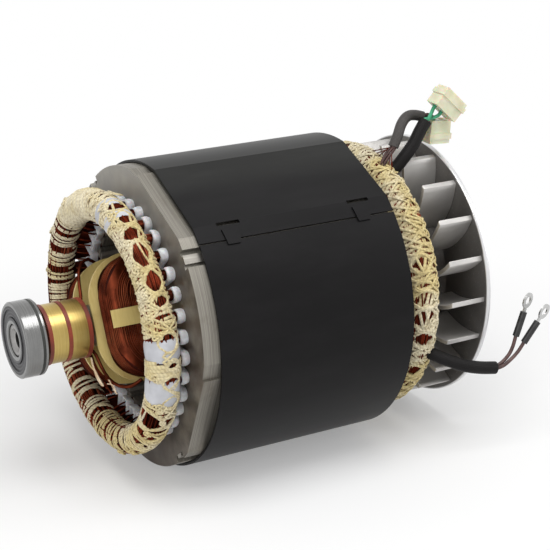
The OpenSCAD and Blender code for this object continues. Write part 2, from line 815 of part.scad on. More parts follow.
// Brown leads: the wires that leave the winding, and their end behind the sleeve
module brown_lead_wires() {
    color("#4a2a20") at_rear_winding() {
        cord(brown_route, brown_wires_d);
        cord(brown_end_route, green_lead_d);
    }
}

module black_lead_sleeve() {
    color("#1c1c1d") at_rear_winding() cord(black_route, black_sleeve_d);
}

module grey_lead_sleeve() {
    color("#4a4648") at_rear_winding() cord(grey_route, grey_sleeve_d);
}

module left_green_lead() {
    color("#3c966e") at_rear_winding() cord(left_green_route, green_lead_d);
}

module right_green_lead() {
    color("#3c966e") at_rear_winding() cord(right_green_route, green_lead_d);
}

// Moulded housing: wire face at the origin, mating end towards +Z, with a rim there and a latch
module connector_housing(size, ways) {
    rib = 0.8;
    wall = 1;
    latch = [5, 1.2, 0.75 * size[2]];
    difference() {
        union() {
            translate([-size[0] / 2, -size[1] / 2, 0]) cube(size);
            translate([-size[0] / 2 - rib, -size[1] / 2 - rib, 0.55 * size[2]])
                cube([size[0] + 2 * rib, size[1] + 2 * rib, 0.25 * size[2]]);
            translate([-latch[0] / 2, size[1] / 2 + rib, 0.2 * size[2]]) cube(latch);
            translate([-latch[0] / 2, size[1] / 2 - wall, 0.6 * size[2]])
                cube([latch[0], wall + rib + latch[1], 0.15 * size[2]]);
        }
        for (i = [0 : ways - 1]) translate([(i - (ways - 1) / 2) * way_pitch, 0, 0]) {
            translate([-way_w / 2, -way_w / 2, -over]) cube([way_w, way_w, over + 4]);
            translate([-way_w / 2 - wall / 2, -way_w / 2 - wall / 2, size[2] - 4])
                cube([way_w + wall, way_w + wall, 4 + over]);
        }
    }
}

module large_connector() {
    color("#e1dec3") at_rear_winding() translate(large_plug_at)
        rotate([0, large_plug_lean, 0]) connector_housing(large_plug, 3);
}

module small_connector() {
    color("#dedbbe") at_rear_winding() translate(small_plug_at)
        rotate([0, small_plug_lean, 0]) connector_housing(small_plug, 2);
}

stator_core();
core_cleats();
slot_liners();
slot_conductors();
front_end_winding();
rear_end_winding();
front_lacing();
rear_lacing();
winding_sleeves();
cover_band();
cover_hooks();
shaft();
rotor_core();
near_pole_coil();
far_pole_coil();
near_coil_bobbin();
far_coil_bobbin();
coil_retaining_bars();
rotor_leads();
slip_ring_hub();
front_slip_ring();
rear_slip_ring();
fan();
fan_blades();
bearing_inner_ring();
bearing_outer_ring();
bearing_o_ring();
bearing_seals();
terminal_lead_sleeve();
left_terminal_lead();
right_terminal_lead();
left_shrink_tube();
right_shrink_tube();
left_ring_terminal();
right_ring_terminal();
black_lead_sleeve();
brown_lead_wires();
grey_lead_sleeve();
left_green_lead();
right_green_lead();
large_connector();
small_connector();
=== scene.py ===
import math

import bpy
import numpy as np
from mathutils import Euler, Matrix, Vector


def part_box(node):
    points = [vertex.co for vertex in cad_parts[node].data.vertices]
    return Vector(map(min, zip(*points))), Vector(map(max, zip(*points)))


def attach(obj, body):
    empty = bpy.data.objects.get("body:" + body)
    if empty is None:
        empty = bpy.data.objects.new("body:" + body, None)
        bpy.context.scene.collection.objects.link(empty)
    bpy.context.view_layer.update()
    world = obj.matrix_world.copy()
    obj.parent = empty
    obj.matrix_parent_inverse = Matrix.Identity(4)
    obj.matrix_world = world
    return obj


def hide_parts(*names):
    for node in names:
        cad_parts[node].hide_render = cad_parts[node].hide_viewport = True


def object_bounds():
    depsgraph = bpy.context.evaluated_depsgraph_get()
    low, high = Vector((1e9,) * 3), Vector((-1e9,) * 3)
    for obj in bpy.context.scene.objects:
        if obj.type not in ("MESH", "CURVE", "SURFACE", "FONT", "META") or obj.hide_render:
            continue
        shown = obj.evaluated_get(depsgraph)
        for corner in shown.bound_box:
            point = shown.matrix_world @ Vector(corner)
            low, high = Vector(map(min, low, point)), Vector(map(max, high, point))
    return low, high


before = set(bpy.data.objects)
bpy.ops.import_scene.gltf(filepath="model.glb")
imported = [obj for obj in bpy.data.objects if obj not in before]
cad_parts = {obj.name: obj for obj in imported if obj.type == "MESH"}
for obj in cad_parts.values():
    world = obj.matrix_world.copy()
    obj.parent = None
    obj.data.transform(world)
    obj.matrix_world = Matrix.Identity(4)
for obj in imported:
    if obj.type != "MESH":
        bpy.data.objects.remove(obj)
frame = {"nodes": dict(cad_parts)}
cad_low, cad_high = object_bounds()
nodes = frame["nodes"]
chance = np.random.default_rng(36)

mm = 0.001
STATOR = "stator"
ROTOR = "rotor"


# ---------- sizes ----------

stack_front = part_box("stator_core")[0].x
stack_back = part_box("stator_core")[1].x
stack_length = stack_back - stack_front
rear_ring_x = (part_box("rear_lacing")[0].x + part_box("rear_lacing")[1].x) / 2
front_ring_x = (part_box("front_lacing")[0].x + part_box("front_lacing")[1].x) / 2
cuff_length = stack_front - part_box("slot_liners")[0].x
fan_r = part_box("fan")[1].z
floor_z = cad_low.z
floor_middle_x = 0.16

slot_count = 36
slot_pitch = 360 / slot_count
slot_mouth_r = 61 * mm
slot_floor_r = 72.4 * mm
slot_mouth_half = 2.8 * mm
slot_floor_half = 3.8 * mm
wire_d = 1.15 * mm


def slot_angle(slot):
    """Where a slot is round the shaft, in degrees from the side that faces -Y."""
    return 180 - slot * slot_pitch


# ---------- shapes ----------

def unit(vectors):
    """Vectors brought to a length of 1."""
    return vectors / np.linalg.norm(vectors, axis=-1, keepdims=True)


def smooth_route(points, steps=6):
    """Points of a smooth curve through a route's points."""
    points = np.array(points, float)
    last = len(points) - 1
    out = []
    for i in range(last):
        a, b, c, d = (points[min(max(k, 0), last)] for k in (i - 1, i, i + 1, i + 2))
        for t in np.arange(steps) / steps:
            out.append(b + (c - a) * t / 2 + (a * 2 - b * 5 + c * 4 - d) * t ** 2 / 2
                       + (b * 3 - a - c * 3 + d) * t ** 3 / 2)
    return np.array(out + [points[last]])


def along(path):
    """Directions of a path at each of its points."""
    return unit(np.gradient(path, axis=0))


def lengths_along(path):
    """Length of a path up to each of its points."""
    steps = np.linalg.norm(np.diff(path, axis=0), axis=1)
    return np.concatenate([[0], np.cumsum(steps)])


def round_shaft(angle, x, out, across):
    """Points given along the shaft, out from it at an angle and across that.

    The angle is in degrees from the side that faces -Y, rising over the top."""
    a = math.radians(angle)
    outward = [0, -math.cos(a), math.sin(a)]
    sideways = [0, math.sin(a), math.cos(a)]
    return np.outer(x, [1, 0, 0]) + np.outer(out, outward) + np.outer(across, sideways)


class Piece:
    """One mesh, put together from tubes and skins."""

    def __init__(self):
        self.points = []
        self.faces = []
        self.marks = []
        self.count = 0

    def grid(self, points, closed=False, round_closed=True, caps=False, length=None):
        """A skin over rows of points: rows along the first axis, points of a row along the second.

        The surface marks are the length along the rows, in metres, and the share of the way round them."""
        rows, sides = points.shape[:2]
        first = self.count
        numbers = np.arange(rows * sides).reshape(rows, sides) + first
        this = numbers if closed else numbers[:-1]
        ahead = np.roll(numbers, -1, 0) if closed else numbers[1:]
        if round_closed:
            quads = np.stack([this, ahead, np.roll(ahead, -1, 1), np.roll(this, -1, 1)], -1)
        else:
            quads = np.stack([this[:, :-1], ahead[:, :-1], ahead[:, 1:], this[:, 1:]], -1)
        if length is None:
            length = lengths_along(points.mean(1))
        lengths = np.append(length, length[-1] + length[1] - length[0])
        u = np.stack([lengths[:-1], lengths[1:], lengths[1:], lengths[:-1]], -1)[:quads.shape[0]]
        v = (np.arange(quads.shape[1])[:, None] + np.array([0, 0, 1, 1])) / sides
        marks = np.stack(np.broadcast_arrays(u[:, None, :], v[None, :, :]), -1)
        self.points.append(points.reshape(-1, 3))
        self.faces += quads.reshape(-1, 4).tolist()
        self.marks.append(marks.reshape(-1, 2))
        self.count += rows * sides
        if caps:
            self.faces.append(numbers[0].tolist())
            self.faces.append(numbers[-1][::-1].tolist())
            self.marks.append(np.zeros((2 * sides, 2)))
        return self

    def tube(self, path, width, height=None, up=None, sides=6, closed=False, caps=True):
        """A cord along a path. Width and height may change along it; up is where its height points."""
        path = np.asarray(path, float)
        if closed:
            way = unit(np.roll(path, -1, 0) - np.roll(path, 1, 0))
        else:
            way = along(path)
        if up is None:
            up = [0, 1, 0] if abs(way[:, 1]).max() < 0.9 else [0.3, 0.1, 1]
        up = np.broadcast_to(np.asarray(up, float), path.shape)
        up = unit(up - way * (up * way).sum(-1, keepdims=True))
        side = np.cross(way, up)
        turn = np.arange(sides) * 2 * math.pi / sides
        width = np.broadcast_to(width, len(path))[:, None, None] / 2
        height = width if height is None else np.broadcast_to(height, len(path))[:, None, None] / 2
        rows = (path[:, None] + side[:, None] * np.cos(turn)[None, :, None] * width
                + up[:, None] * np.sin(turn)[None, :, None] * height)
        return self.grid(rows, closed, True, caps and not closed, lengths_along(path))

    def make(self, name, finish, body, slot, replaces=()):
        """The finished object, riding on its body and standing for the CAD nodes that it replaces."""
        mesh = bpy.data.meshes.new(name)
        mesh.from_pydata(np.concatenate(self.points).tolist(), [], self.faces)
        layer = mesh.uv_layers.new(name="along_and_round")
        layer.data.foreach_set("uv", np.concatenate(self.marks).astype(np.float32).ravel())
        mesh.polygons.foreach_set("use_smooth", [True] * len(mesh.polygons))
        mesh.materials.append(finish)
        piece = bpy.data.objects.new(name, mesh)
        bpy.context.scene.collection.objects.link(piece)
        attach(piece, body)
        if replaces:
            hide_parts(*replaces)
        return piece


# ---------- finishes ----------

def paint(red, green, blue):
    """A colour from its screen values, 0 to 255."""
    def plain(value):
        value /= 255
        return value / 12.92 if value <= 0.04045 else ((value + 0.055) / 1.055) ** 2.4
    return (plain(red), plain(green), plain(blue), 1.0)


class Value:
    """A number or colour that changes over a surface. A sum on it adds Math nodes to its tree."""

    def __init__(self, nodes, output):
        self.nodes = nodes
        self.output = output

    def work(self, operation, *terms):
        return self.nodes.node("ShaderNodeMath", {"operation": operation}, dict(enumerate(terms)))

    def __add__(self, other):
        return self.work("ADD", self, other)

    def __radd__(self, other):
        return self.work("ADD", other, self)

    def __sub__(self, other):
        return self.work("SUBTRACT", self, other)

    def __rsub__(self, other):
        return self.work("SUBTRACT", other, self)

    def __mul__(self, other):
        return self.work("MULTIPLY", self, other)

    def __pow__(self, other):
        return self.work("POWER", self, other)

    def sine(self):
        return self.work("SINE", self)

    def size(self):
        return self.work("ABSOLUTE", self)

    def or_more(self, other):
        return self.work("MAXIMUM", self, other)

    def rising(self, low, high):
        """0 below low, 1 above high, and a soft step between them."""
        return self.nodes.node("ShaderNodeMapRange", {"interpolation_type": "SMOOTHSTEP"},
                               {"Value": self, "From Min": low, "From Max": high})


class Nodes:
    """A node tree and what is put into it."""

    def __init__(self, tree):
        self.tree = tree

    def node(self, kind, settings=None, sockets=None, output=0):
        """A new node with its settings and what goes into its sockets; gives one of its outputs."""
        made = self.tree.nodes.new(kind)
        for setting, value in (settings or {}).items():
            setattr(made, setting, value)
        for socket, value in (sockets or {}).items():
            self.feed(made.inputs[socket], value)
        return Value(self, made.outputs[output])

    def feed(self, socket, value):
        """Links what varies to a socket, and sets what does not."""
        if isinstance(value, Value):
            self.tree.links.new(value.output, socket)
        else:
            socket.default_value = value

    def sees_white(self):
        """1 for the rays that see, mirror or look through to the white surround."""
        seen, mirrored, through = (self.node("ShaderNodeLightPath", output=kind)
                                   for kind in ("Is Camera Ray", "Is Glossy Ray", "Is Transmission Ray"))
        return seen.or_more(mirrored).or_more(through)


class Finish(Nodes):
    """A material: its shader, and the nodes that feed it."""

    def __init__(self, name, **values):
        self.material = bpy.data.materials.new(name)
        self.material.use_nodes = True
        super().__init__(self.material.node_tree)
        self.shader = self.tree.nodes["Principled BSDF"]
        self.set(**values)

    def set(self, **values):
        for socket, value in values.items():
            self.feed(self.shader.inputs[socket.replace("_", " ")], value)
        return self

    def where(self):
        """Place on the piece, in metres, in the machine's own frame."""
        return self.node("ShaderNodeTexCoord", output="Object")

    def marks(self):
        """Length along a cord and the turn round it."""
        return self.node("ShaderNodeTexCoord", output="UV")

    def stretched(self, place, x, y, z):
        """A place with its three parts scaled, so that a pattern on it is drawn out."""
        return self.node("ShaderNodeVectorMath", {"operation": "MULTIPLY"}, {0: place, 1: (x, y, z)})

    def parts(self, vector):
        split = self.node("ShaderNodeSeparateXYZ", {}, {0: vector}).output.node
        return [Value(self, part) for part in split.outputs]

    def height(self):
        return self.parts(self.where())[2]

    def from_shaft(self):
        """Distance from the shaft's middle line."""
        _, y, z = self.parts(self.where())
        return (y * y + z * z) ** 0.5

    def facing_ahead(self):
        """1 where the surface faces along the shaft, 0 where it faces away from it."""
        normal = self.node("ShaderNodeTexCoord", output="Normal")
        return self.parts(normal)[0].size().rising(0.6, 0.8)

    def turned(self):
        """Place on a turned piece: along the shaft, away from it, and a little of the turn round it."""
        x, y, z = self.parts(self.where())
        return self.node("ShaderNodeCombineXYZ", {}, {0: x, 1: self.from_shaft(), 2: (y + z) * 0.02})

    def noise(self, place, scale, detail=3.0, rough=0.5):
        return self.node("ShaderNodeTexNoise", {},
                         {"Vector": place, "Scale": scale, "Detail": detail, "Roughness": rough})

    def mix(self, share, first, second):
        return self.node("ShaderNodeMix", {"data_type": "RGBA"}, {0: share, 6: first, 7: second}, 2)

    def relief(self, height, depth, strength=1.0):
        """Bumps of a depth in metres, where height goes from 0 to 1."""
        bump = self.node("ShaderNodeBump", {}, {"Height": height, "Distance": depth, "Strength": strength})
        return self.set(Normal=bump)


def lamination():
    """Stacked sheet steel: brushed edges round it, and varnish and runs of resin on its faces, which are
    given painted light towards the top and painted shade towards the bottom.
    """
    f = Finish("lamination")
    sheets = f.noise(f.stretched(f.where(), 2200, 14, 14), 1, 2)
    blotches = f.noise(f.where(), 55, 5, 0.6)
    stains = f.noise(f.where(), 170, 4, 0.65)
    varnish = f.noise(f.where(), 32, 3, 0.55)
    face = f.facing_ahead()
    edge_colour = f.mix(sheets.rising(0.3, 0.7), paint(114, 110, 102), paint(142, 138, 129))
    edge_colour = f.mix(blotches.rising(0.5, 0.72) * 0.3, edge_colour, paint(96, 84, 70))
    near_slots = 1 - f.from_shaft().rising(0.078, 0.088)
    # Painted light on the upper faces and painted shade on the lower ones, by height alone.
    painted_light_top = f.height().rising(0.045, 0.09)
    painted_shade_low = 1 - f.height().rising(-0.09, -0.03)
    face_colour = f.mix(blotches.rising(0.35, 0.7), paint(70, 64, 57), paint(122, 115, 104))
    face_colour = f.mix(varnish.rising(0.45, 0.6) * 0.45, face_colour, paint(66, 48, 36))
    face_colour = f.mix(stains.rising(0.58, 0.72) * near_slots * 0.7, face_colour, paint(92, 44, 30))
    face_colour = f.mix(painted_light_top * 0.55, face_colour, paint(176, 174, 168))
    face_colour = f.mix(painted_shade_low * 0.55, face_colour, paint(52, 38, 28))
    f.set(Base_Color=f.mix(face, edge_colour, face_colour))
    f.set(Metallic=0.65 - face * 0.4, Roughness=0.38 + blotches * 0.2)
    return f.relief(sheets * (1 - face) * 0.5 + blotches * face, 0.22 * mm, 0.5).material


def cleat_steel():
    """Bare strip steel of the clamping cleats."""
    f = Finish("cleat_steel", Metallic=0.85, Roughness=0.35)
    grain = f.noise(f.stretched(f.where(), 60, 900, 900), 1, 3)
    f.set(Base_Color=f.mix(grain, paint(118, 114, 108), paint(178, 174, 166)))
    return f.relief(grain, 0.05 * mm).material


def cuff_paper():
    """White folded slot paper."""
    f = Finish("cuff_paper", Roughness=0.55, IOR=1.45, Subsurface_Weight=0.15, Subsurface_Scale=1.0 * mm)
    soft = f.noise(f.where(), 260, 4, 0.6)
    f.set(Base_Color=f.mix(soft.rising(0.35, 0.75), paint(196, 196, 198), paint(232, 233, 237)))
    return f.relief(soft, 0.3 * mm, 0.5).material


def winding_copper(name, dark, light, glint):
    """Enamelled wire: brown-red lacquer over copper, with painted glints along the wires."""
    f = Finish(name, Metallic=0.9, IOR=1.3, Specular_Tint=light)
    shift = f.noise(f.where(), 90, 4, 0.6)
    wires = f.noise(f.stretched(f.marks(), 30, 4, 1), 1, 2)
    colour = f.mix(shift.rising(0.3, 0.7), dark, light)
    # The glint colour is a painted highlight.
    f.set(Base_Color=f.mix(wires.rising(0.55, 0.78) * 0.65, colour, glint), Roughness=0.3 + wires * 0.25)
    return f.material


def lacing_thread():
    """Waxed cream cord, twisted, with lighter and yellower lengths."""
    f = Finish("lacing_thread", Roughness=0.78, Sheen_Weight=0.2)
    u, v, _ = f.parts(f.marks())
    twist = (u * 2600 + v * (2 * math.pi)).sine() * 0.5 + 0.5
    tone = f.noise(f.where(), 26, 3)
    dirt = f.noise(f.where(), 240, 4, 0.6)
    colour = f.mix(tone.rising(0.38, 0.6), paint(228, 219, 190), paint(212, 195, 138))
    colour = f.mix(dirt.rising(0.45, 0.75) * 0.6, colour, paint(158, 134, 88))
    # Painted shade: the cord is darkened in the grooves of its twist.
    f.set(Base_Color=f.mix(0.3 - twist * 0.3, colour, paint(138, 114, 74)))
    return f.relief(twist * 0.6 + dirt * 0.4, 0.2 * mm, 0.6).material


def sleeve_fabric():
    """Varnished glass sleeving, pale grey."""
    f = Finish("sleeve_fabric", Roughness=0.42)
    u, v, _ = f.parts(f.marks())
    weave = (u * 5200).sine() * (v * 260).sine() * 0.5 + 0.5
    tone = f.noise(f.where(), 60, 3)
    f.set(Base_Color=f.mix(tone.rising(0.3, 0.7), paint(174, 175, 180), paint(200, 201, 206)))
    return f.relief(weave * 0.3 + tone, 0.2 * mm, 0.5).material


def cover_plastic():
    """Satin black sheet, faintly scuffed and a little wavy, with painted light on its top."""
    f = Finish("cover_plastic", IOR=1.46, Specular_IOR_Level=0.16)
    scuffs = f.noise(f.stretched(f.where(), 16, 60, 60), 1, 5, 0.65)
    waves = f.noise(f.stretched(f.where(), 7, 9, 9), 1, 2)
    specks = f.noise(f.where(), 1500, 2)
    side = f.mix(scuffs.rising(0.4, 0.75), paint(13, 12, 13), paint(19, 18, 19))
    # Painted light: a paler copy of the black for the top of the band.
    top = f.mix(scuffs.rising(0.4, 0.75), paint(32, 32, 31), paint(39, 39, 38))
    f.set(Base_Color=f.mix(f.height().rising(0.083, 0.093), side, top), Roughness=0.36 + scuffs * 0.1)
    return f.relief(specks * 0.05 + waves, 0.4 * mm, 0.3).material


def turned_metal(name, dark, light, roughness, lines_scale=1400):
    """Turned metal: fine tool lines round the shaft, and a mottled film."""
    f = Finish(name, Metallic=1.0)
    lines = f.noise(f.turned(), lines_scale, 2)
    film = f.noise(f.where(), 130, 4, 0.6)
    f.set(Base_Color=f.mix(lines * 0.6 + film * 0.4, dark, light), Roughness=roughness - 0.06 + film * 0.12)
    return f.relief(lines, 0.02 * mm, 0.6).material


def bearing_metal():
    """Ground steel rings, with the dark pressed shield between them."""
    f = Finish("bearing_metal")
    away = f.from_shaft()
    shield = away.rising(12.2 * mm, 12.6 * mm) * (1 - away.rising(20.9 * mm, 21.3 * mm))
    groove_pitch = 2.1 * mm
    grooves = (away * (2 * math.pi / groove_pitch)).sine() * 0.5 + 0.5
    lines = f.noise(f.turned(), 1400, 2)
    film = f.noise(f.where(), 130, 4, 0.6)
    steel_colour = f.mix(lines * 0.6 + film * 0.4, paint(92, 92, 91), paint(156, 156, 155))
    grain = f.noise(f.where(), 900, 3)
    # Painted shade and light: the shield is dark in its grooves and paler on the ridges between them.
    shield_colour = f.mix(grooves * 0.6 + grain * 0.4, paint(20, 20, 21), paint(92, 92, 94))
    f.set(Base_Color=f.mix(shield, steel_colour, shield_colour), Metallic=1 - shield * 0.7,
          Roughness=0.14 + film * 0.12 + shield * 0.28)
    return f.relief(lines + grooves * shield, 0.05 * mm, 0.6).material


def cast_aluminium(name, dark, light):
    """Pressure-cast aluminium: a grey skin with specks, brighter at the machined rim."""
    f = Finish(name, Metallic=0.65)
    rim = f.from_shaft().rising(fan_r - 1.2 * mm, fan_r - 0.4 * mm)
    specks = f.noise(f.where(), 700, 3, 0.7)
    cloud = f.noise(f.where(), 30, 5)
    skin = f.mix(cloud.rising(0.15, 0.85), dark, light)
    skin = f.mix(specks.rising(0.6, 0.75) * 0.35, skin, paint(206, 204, 202))
    f.set(Base_Color=f.mix(rim, skin, paint(214, 214, 215)), Roughness=0.5 - rim * 0.2)
    return f.relief(specks * 0.5 + cloud * 0.5, 0.25 * mm, 0.4).material


def moulded(name, dark, light, roughness, grain=300):
    """Moulded resin, rubber or varnished steel, with an even fine grain and a soft change of tone."""
    f = Finish(name)
    tone = f.noise(f.where(), grain / 5, 4)
    fine = f.noise(f.where(), grain * 4, 3)
    f.set(Base_Color=f.mix(tone.rising(0.3, 0.7) * 0.8 + fine * 0.2, dark, light),
          Roughness=roughness - 0.05 + fine * 0.12)
    return f.relief(fine * 0.5 + tone * 0.5, 0.1 * mm, 0.5).material


def board():
    """Tan insulation board with a faint fibre and darker patches."""
    f = Finish("bobbin_board", Roughness=0.5)
    fibre = f.noise(f.stretched(f.where(), 900, 120, 120), 1, 4)
    cloud = f.noise(f.where(), 60, 4, 0.6)
    colour = f.mix(fibre, paint(192, 168, 98), paint(216, 196, 132))
    f.set(Base_Color=f.mix(cloud.rising(0.5, 0.75) * 0.5, colour, paint(160, 122, 60)))
    return f.relief(fibre, 0.1 * mm, 0.4).material


def braided(name, dark, light, gloss):
    """Varnished braided sleeving."""
    f = Finish(name, Roughness=0.5, Specular_IOR_Level=gloss)
    u, v, _ = f.parts(f.marks())
    along_it = u * 3600
    round_it = v * (24 * math.pi)
    braid = (along_it + round_it).sine() * (along_it - round_it).sine() * 0.5 + 0.5
    tone = f.noise(f.where(), 160, 3)
    # Painted shade and light: the sleeve is darker in the hollows of the braid and paler on its crossings.
    f.set(Base_Color=f.mix(braid * 0.6 + tone * 0.4, dark, light))
    return f.relief(braid, 0.25 * mm, 0.6).material


def lead_plastic(name, dark, light):
    """Soft extruded lead insulation."""
    f = Finish(name, Roughness=0.4)
    tone = f.noise(f.where(), 240, 3)
    f.set(Base_Color=f.mix(tone.rising(0.3, 0.7), dark, light))
    return f.relief(tone, 0.1 * mm, 0.4).material


def nylon():
    """Milky cream nylon that lets some light through."""
    f = Finish("nylon", Roughness=0.38, IOR=1.5, Subsurface_Weight=0.6, Subsurface_Scale=4.0 * mm)
    cloud = f.noise(f.where(), 120, 3)
    f.set(Base_Color=f.mix(cloud.rising(0.3, 0.7), paint(206, 205, 174), paint(224, 223, 198)))
    return f.relief(cloud, 0.1 * mm, 0.3).material


# ---------- camera, light and floor ----------

def put(name, data, place, way):
    """A camera or lamp at a place, facing along a direction."""
    made = bpy.data.objects.new(name, data)
    made.location = place
    made.rotation_mode = "QUATERNION"
    made.rotation_quaternion = way.to_track_quat("-Z", "Y")
    bpy.context.scene.collection.objects.link(made)
    return made


def look_from(azimuth, elevation, distance, target, view_angle):
    """A camera at a distance from a point on the machine. Its angles are in degrees."""
    a = math.radians(azimuth)
    e = math.radians(elevation)
    back = Vector((math.sin(a) * math.cos(e), -math.cos(a) * math.cos(e), math.sin(e)))
    data = bpy.data.cameras.new("camera")
    data.sensor_width = 36
    data.lens = data.sensor_width / 2 / math.tan(math.radians(view_angle) / 2)
    data.clip_start = 0.05
    bpy.context.scene.camera = put("camera", data, Vector(target) + back * distance, -back)


def lamp(name, place, target, width, height, power):
    """A soft rectangular lamp that faces a point on the machine."""
    data = bpy.data.lights.new(name, "AREA")
    data.shape = "RECTANGLE"
    data.size = width
    data.size_y = height
    data.energy = power
    put(name, data, place, Vector(target) - Vector(place))


def white_surround():
    """A surround that lights the machine softly and is white where it is seen or mirrored."""
    world = bpy.data.worlds.new("surround")
    bpy.context.scene.world = world
    world.use_nodes = True
    world.node_tree.nodes.clear()
    surround = Nodes(world.node_tree)
    light_strength = 0.5
    lit, seen = (surround.node("ShaderNodeBackground", {}, {"Color": (1, 1, 1, 1), "Strength": strength})
                 for strength in (light_strength, 1.0))
    shown = surround.node("ShaderNodeMixShader", {}, {0: surround.sees_white(), 1: lit, 2: seen})
    output = world.node_tree.nodes.new("ShaderNodeOutputWorld")
    surround.feed(output.inputs["Surface"], shown)


def pale_floor():
    """A floor that keeps the machine's shadow near it and fades to white further out."""
    half = 6.0
    corners = [(x * half, y * half, floor_z) for x, y in ((-1, -1), (1, -1), (1, 1), (-1, 1))]
    mesh = bpy.data.meshes.new("floor")
    mesh.from_pydata(corners, [], [(0, 1, 2, 3)])
    plane = bpy.data.objects.new("floor", mesh)
    bpy.context.scene.collection.objects.link(plane)
    f = Finish("floor", Roughness=0.9, Specular_IOR_Level=0.0)
    tone = f.noise(f.where(), 3, 2)
    f.set(Base_Color=f.mix(tone, (0.88, 0.88, 0.88, 1), (0.9, 0.9, 0.9, 1)))
    x, y, _ = f.parts(f.where())
    x = x - floor_middle_x
    white_share = ((x * x + y * y) ** 0.5).rising(0.19, 0.42) * 0.72 + 0.28
    white = f.node("ShaderNodeEmission")
    shown = f.node("ShaderNodeMixShader", {},
                   {0: white_share * f.sees_white(), 1: Value(f, f.shader.outputs[0]), 2: white})
    f.feed(f.tree.nodes["Material Output"].inputs["Surface"], shown)
    mesh.materials.append(f.material)


look_from(azimuth=-29.06, elevation=20.34, distance=1.0059, target=(0.17915, 0, 0.00978),
          view_angle=20.1502867)
white_surround()
pale_floor()
lamp("overhead", (0.05, -0.35, 1.1), (0.15, 0, 0), 0.9, 0.7, 9)
lamp("side", (-0.9, -0.7, 0.45), (0.1, 0, 0), 0.5, 0.8, 3.8)
lamp("right", (1.1, -0.5, 0.5), (0.2, 0, 0), 0.4, 0.8, 2.8)
bpy.context.scene.view_settings.view_transform = "Standard"


# ---------- leads ----------

# Routes in millimetres. Their x counts from the middle of the rear winding.
low_route = [[5.9, -80.1, -29.3], [8.7, -84, -30.5], [14.7, -90, -33], [22.7, -95, -36],
             [33.7, -97, -39], [44.7, -98, -41]]
left_lead_route = [[45.5, -96.8, -41], [50.7, -97, -39], [55.7, -97, -35], [58.7, -97, -30],
                   [60.7, -97, -23], [60.8, -97, -22.6]]
right_lead_route = [[45.5, -99.4, -41], [50.7, -99.5, -40], [56.7, -99, -37], [61.7, -99, -33],
                    [65.7, -99, -28], [66, -99, -27.6]]
black_route = [[7.6, -29.6, 79.5], [9.7, -31, 81], [14.7, -33, 88], [20.7, -33, 95], [25.7, -32, 102],
               [30.7, -31, 108]]
brown_route = [[0.3, -28.7, 82.4], [1.7, -29, 86], [6.7, -30, 93]]
grey_route = [[7.1, -30, 94], [10.7, -29, 100], [15.7, -26, 107], [21.7, -23.5, 110.5], [27.7, -23, 110.5],
              [33.2, -24, 109]]
brown_end_route = [[33.5, -24.1, 108.9], [36.7, -24.8, 109], [39, -25.4, 107.8], [39.6, -25.5, 105.2]]
left_green_route = [[31.3, -32.4, 108.8], [33.4, -32.6, 112.5], [35.6, -32.1, 116], [37.4, -32, 118.2]]
right_green_route = [[31.3, -29.6, 108.8], [35.7, -30.4, 109.2], [39.8, -31.8, 110.8], [42.1, -32, 113.6]]
lead_d = 2.4 * mm
sleeve_d = 8.2 * mm
grey_sleeve_d = 6.8 * mm
brown_bundle_d = 4.4 * mm
sleeve_wall = 0.9 * mm


def from_rear_winding(route):
    """A route's places in the machine's own frame, in metres."""
    return np.array(route) * mm + [rear_ring_x, 0, 0]


def sleeve_piece(name, route, diameter, finish, slot, node):
    """A hollow sleeve, its cut ends open round the leads."""
    path = smooth_route(from_rear_winding(route))
    way = along(path)
    inner = diameter - 2 * sleeve_wall
    piece = Piece().tube(path, diameter, sides=20, caps=False)
    for end, inward in ((0, 1), (-1, -1)):
        for depth, widths in ((5 * mm, inner), (0.01 * mm, np.array([diameter, inner]))):
            mouth = np.array([path[end], path[end] + way[end] * inward * depth])
            piece.tube(mouth, widths, sides=20, caps=False)
    return piece.make(name, finish, STATOR, slot, [node])


def lead_piece(name, route, finish, slot, replaced):
    """A whole lead: it runs inside its sleeve, leaves it, and ends in what it is crimped to."""
    path = smooth_route(from_rear_winding(route))
    piece = Piece().tube(path, lead_d, sides=10).make(name, finish, STATOR, slot, replaced)


def brown_bundle(finish):
    """The winding's own wires, laid round each other, from their sleeve to the small connector."""
    path = smooth_route(from_rear_winding(brown_route + grey_route + brown_end_route))
    way = along(path)
    across = unit(np.cross(way, [0, 1, 0]))
    over = np.cross(way, across)
    bundle = Piece()
    for k in range(6):
        sway = 0.3 * np.sin(np.linspace(0, 9, len(path)) + k)
        turn = (k * math.pi / 3 + np.linspace(0, 2.5, len(path)) + sway)[:, None]
        off = (across * np.cos(turn) + over * np.sin(turn)) * (brown_bundle_d / 2 - 0.65 * mm)
        bundle.tube(path + off, 1.25 * mm)
    piece = bundle.make("brown_winding_wires", finish, STATOR, "brown_lead", ["brown_lead_wires"])


def beside(route, across):
    """The route of one lead of a pair that shares a sleeve."""
    return [[x, y + across, z] for x, y, z in route]


